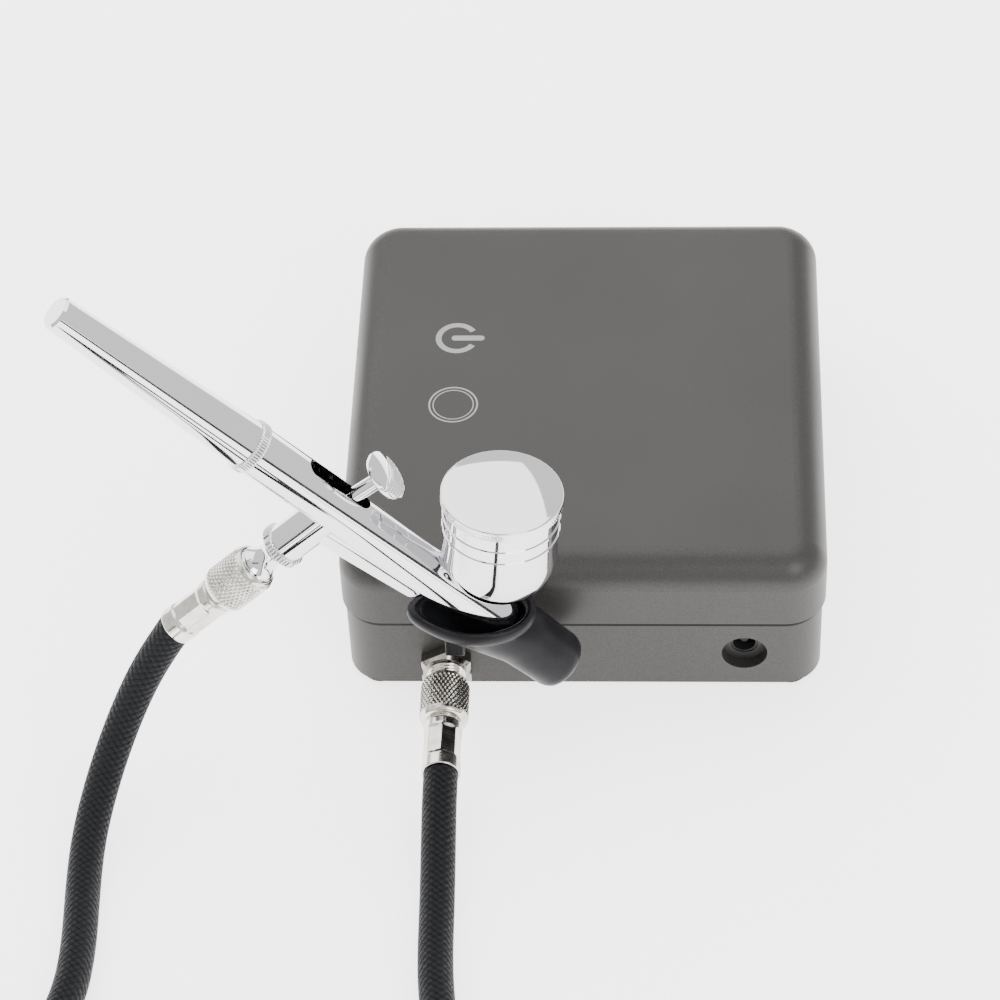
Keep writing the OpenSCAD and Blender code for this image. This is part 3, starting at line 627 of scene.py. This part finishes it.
def valve_plug():
    flutes, thread_depth = fluted(40, 0.35), 0.5
    steps, waist_start, waist_length, waist_r, flare = 16, 19, 7.2, 3.25, 1.35
    waist = [(waist_start + waist_length * i / steps, waist_r + flare * abs(2 * i / steps - 1) ** 2.4)
             for i in range(steps + 1)]
    thread = dense([(26.7, 4.8), (33.4, 4.8)], 0.16)
    rim = [(16.9, 5.3)] + dense([(17.15, 5.8), (18.85, 5.8)], 0.4) + [(19, 5.3)]
    profile = [(16.9, 1.4)] + rim + waist + thread + [(33.4, 1.4)]
    def radial(angle, z, r):
        if r > 5.7:
            return flutes(angle, z, r)
        if z > 26.5 and r > 4.6:
            return r - thread_depth * (1 - triangle_wave(z / THREAD_PITCH - angle / TURN))
        return r
    piece = turned("valve_coupling", profile, IN_VALVE, radial, 320)
    finish_piece(piece, "chrome", "airbrush", "valve_plug")


def cup_lid():
    """Domed lid with a finely knurled rim and a plug that fits the cup."""
    rim_r, dome_r, dome_h = 14.5, 14.2, 2.0
    ball = (dome_r ** 2 + dome_h ** 2) / (2 * dome_h)
    dome = [(dome_h - 0.6 - ball + math.sqrt(ball ** 2 - r * r), r)
            for r in np.linspace(dome_r - 0.35, 0.02, 40)]
    rim = dense([(-3.1, rim_r), (-1.0, rim_r)], 0.25)
    below = [(-3.1, 0.02), (-3.1, 10.6), (-5.4, 10.6), (-5.6, 10.9), (-5.6, 12.0), (-5.3, 12.3),
             (-3.35, 12.3), (-3.35, 14.2)]
    knurls = knurl(110, 0.75, 0.22, -3.4, -0.75)
    profile = below + rim + arc(-1.0, rim_r - 0.45, 0.45, 0, 70, 5) + dome
    def radial(angle, z, r):
        return knurls(angle, z, r) if r > 14.4 else r
    piece = turned("domed_lid", profile, IN_CUP, radial, 440, loop=False, sharp=50)
    finish_piece(piece, "chrome", "cup_lid", "cup_lid")


def trigger_button():
    """A thumb disc with curved ridges on its half towards the nose."""
    rings, steps, edge, ridge_pitch, base_h = 60, 160, 6.15, 0.85, 18.9
    points, faces = [], []
    def height(x, y, r):
        ridge = triangle_wave(math.hypot(x - 14, y) / ridge_pitch)
        fade = ease((-x + 0.8) / 0.5) * ease((edge - 0.25 - r) / 0.3)
        return 1.8 + 0.95 * (1 - (r / edge) ** 2) - 0.34 * fade * (1 - ridge)
    for i in range(rings + 1):
        r = edge * i / rings
        for k in range(steps):
            x, y = r * math.cos(TURN * k / steps), r * math.sin(TURN * k / steps)
            points.append(IN_TRIGGER @ Vector((x, y, base_h + height(x, y, r))))
    for z, r in ((1.0, edge + 0.03), (0.3, 5.8), (0, 5.2), (0, 2.0), (0.4, 0.01)):
        for k in range(steps):
            angle = TURN * k / steps
            points.append(IN_TRIGGER @ Vector((r * math.cos(angle), r * math.sin(angle), base_h + z)))
    for i in range(rings + 5):
        for k in range(steps):
            m = (k + 1) % steps
            faces.append((i * steps + k, (i + 1) * steps + k, (i + 1) * steps + m, i * steps + m))
    piece = new_mesh("ridged_trigger", points, faces, sharp=38)
    finish_piece(piece, "chrome", "trigger", "trigger_button")


handle_ring()
valve_plug()
cup_lid()
trigger_button()


# ---------------------------------------------------------------- airbrush holder
def holder():
    """An oval funnel with a rolled lip that narrows into a tube round the airbrush's nose."""
    steps = 120
    mouth_at = Vector((-24.6, -74.7, 0))
    def mouth(long_r, short_r, z, spout=0.0):
        """An oval loop whose left end runs out to a point."""
        loop = []
        for k in range(steps):
            a = TURN * k / steps
            x, y = long_r * math.cos(a), short_r * math.sin(a)
            x -= spout * max(0, -math.cos(a)) ** 6
            loop.append(IN_CASE @ (mouth_at + Vector((x, y, z))))
        return loop
    def pipe(radius, t):
        """A round loop about the airbrush's axis, started level with the mouth's own."""
        centre, side = IN_BRUSH @ Vector((0, 0, t)), (IN_BRUSH.to_3x3() @ Vector((0, 0, 1)))
        across = (Vector((1, 0, 0)) - side * side.x).normalized()
        up = side.cross(across)
        if up.y < 0:
            up = -up
        return [centre + radius * (math.cos(TURN * k / steps) * across + math.sin(TURN * k / steps) * up)
                for k in range(steps)]
    def between(first, second, shares):
        return [[p.lerp(q, share) for p, q in zip(first, second)] for share in shares]
    loops = [pipe(r, t) for t, r in ((104.3, 0.02), (104.3, 5.4), (104.05, 6.2), (103.5, 6.8), (102.6, 7.2),
                                     (101.6, 7.4), (96, 7.5), (91, 7.7))]
    neck_out, lip_under = pipe(7.8, 89.5), mouth(12.6, 8.7, 39.6, 2.2)
    loops += between(neck_out, lip_under, [0, 0.2, 0.4, 0.6, 0.8, 1])
    loops += [mouth(12.9, 9.0, 40.3, 2.5), mouth(13.5, 9.6, 40.6, 3.0), mouth(13.9, 10.0, 41.2, 3.2),
              mouth(14.0, 10.1, 42.4, 3.3), mouth(13.8, 9.9, 43.6, 3.2), mouth(13.3, 9.4, 44.0, 3.0),
              mouth(12.7, 8.8, 43.9, 2.6), mouth(12.5, 8.6, 43.2, 2.4), mouth(12.3, 8.4, 43.1, 2.3),
              mouth(12.0, 8.1, 43.5, 2.2), mouth(11.6, 7.7, 43.2, 2.0), mouth(11.4, 7.5, 42.2, 1.8)]
    loops += between(mouth(11.3, 7.4, 41.5, 1.6), pipe(6.7, 90.5), [0, 0.3, 0.6, 1])
    loops += [pipe(6.3, 92), pipe(6.05, 95), pipe(6.05, 101.4), pipe(0.02, 101.4)]
    points = [point for loop in loops for point in loop]
    faces = []
    for i in range(len(loops) - 1):
        for k in range(steps):
            m = (k + 1) % steps
            faces.append((i * steps + k, (i + 1) * steps + k, (i + 1) * steps + m, i * steps + m))
    piece = new_mesh("holder_funnel", points, faces, sharp=45)
    finish_piece(piece, "holder_plastic", "root", "brush_holder")


def rounded_block(name, low, high, round_by):
    """A moulded block of the holder with rounded edges."""
    (x0, y0, z0), (x1, y1, z1) = low, high
    corners = [IN_CASE @ Vector((x, y, z)) for x in (x0, x1) for y in (y0, y1) for z in (z0, z1)]
    faces = [(0, 1, 3, 2), (4, 6, 7, 5), (0, 4, 5, 1), (2, 3, 7, 6), (0, 2, 6, 4), (1, 5, 7, 3)]
    piece = new_mesh(name, corners, faces)
    bevel = piece.modifiers.new("round", "BEVEL")
    bevel.width = round_by * MM
    bevel.segments = 3
    finish_piece(piece, "holder_plastic", "root")


holder()
rounded_block("holder_arm", (SLOT_X - 2.5, -68.3, 18.05), (SLOT_X + 2.5, -64.1, 42), 0.6)
rounded_block("holder_peg", (SLOT_X - 2.4, -66, 18.2), (SLOT_X + 2.4, -56, 21), 0.4)


# ---------------------------------------------------------------- studio
def make_floor():
    reach, drop, glow = 6000, -0.02, 2.6
    corners = [(-reach, -reach, drop), (reach, -reach, drop), (reach, reach, drop), (-reach, reach, drop)]
    floor = new_mesh("floor", corners, [(0, 1, 2, 3)])
    look = Look("floor_paper", grey(0.9), Roughness=0.8)
    look.colour(look.noise(8, 2), 0.3, 0.7, (grey(0.9), grey(0.94)))
    look.shader.inputs["Emission Color"].default_value = (1, 1, 1, 1)
    look.shader.inputs["Emission Strength"].default_value = glow
    floor.data.materials.append(look.material)


def softbox(name, at, size, power, aim=(-20, -20, 30)):
    """A square soft light, with its size in mm."""
    data = bpy.data.lights.new(name, "AREA")
    data.shape = "RECTANGLE"
    data.size = size * MM
    data.size_y = size * MM
    data.energy = power
    light = bpy.data.objects.new(name, data)
    bpy.context.scene.collection.objects.link(light)
    place, target = Vector(at) + CASE, Vector(aim) + CASE
    light.location = place * MM
    light.rotation_mode = "QUATERNION"
    light.rotation_quaternion = (target - place).to_track_quat("-Z", "Y")


def flag(name, at, width, height, aim=(-30, -60, 60)):
    """A dark card that only reflections see, for the crisp dark lines in the chrome."""
    place, target = Vector(at) + CASE, Vector(aim) + CASE
    turn = (target - place).to_track_quat("-Z", "Y").to_matrix().to_4x4()
    turn.translation = place
    corners = [turn @ Vector((sx * width / 2, sy * height / 2, 0)) for sx, sy in
               ((-1, -1), (1, -1), (1, 1), (-1, 1))]
    card = new_mesh(name, corners, [(0, 1, 2, 3)])
    look = Look(name, grey(0.01), Roughness=0.9)
    look.colour(look.noise(5, 2), 0.3, 0.7, (grey(0.008), grey(0.012)))
    card.data.materials.append(look.material)
    card.visible_camera = False
    card.visible_diffuse = False
    card.visible_shadow = False


def make_studio():
    """Even white light from all round, two soft lights, and dark cards for the chrome to reflect."""
    world_light, ring_r, ring_z = 1.25, 900, 60
    world = bpy.data.worlds.new("studio")
    world.use_nodes = True
    background = world.node_tree.nodes["Background"]
    background.inputs["Color"].default_value = (1, 1, 1, 1)
    background.inputs["Strength"].default_value = world_light
    bpy.context.scene.world = world
    make_floor()
    softbox("key_light", (-250, 500, 900), 1400, 14)
    softbox("front_light", (450, -700, 700), 500, 5)
    for k, turn in enumerate(range(-165, -10, 15)):
        angle = math.radians(turn)
        at = (ring_r * math.cos(angle), ring_r * math.sin(angle), ring_z)
        flag(f"horizon_card_{k}", at, 240, 90, aim=(0, 0, ring_z))
    flag("card_left", (-300, -420, 2), 60, 520, aim=(-300, -420, 400))
    flag("card_right", (210, -330, 2), 50, 420, aim=(210, -330, 400))
    flag("card_high", (-260, -520, 620), 110, 520)


make_studio()
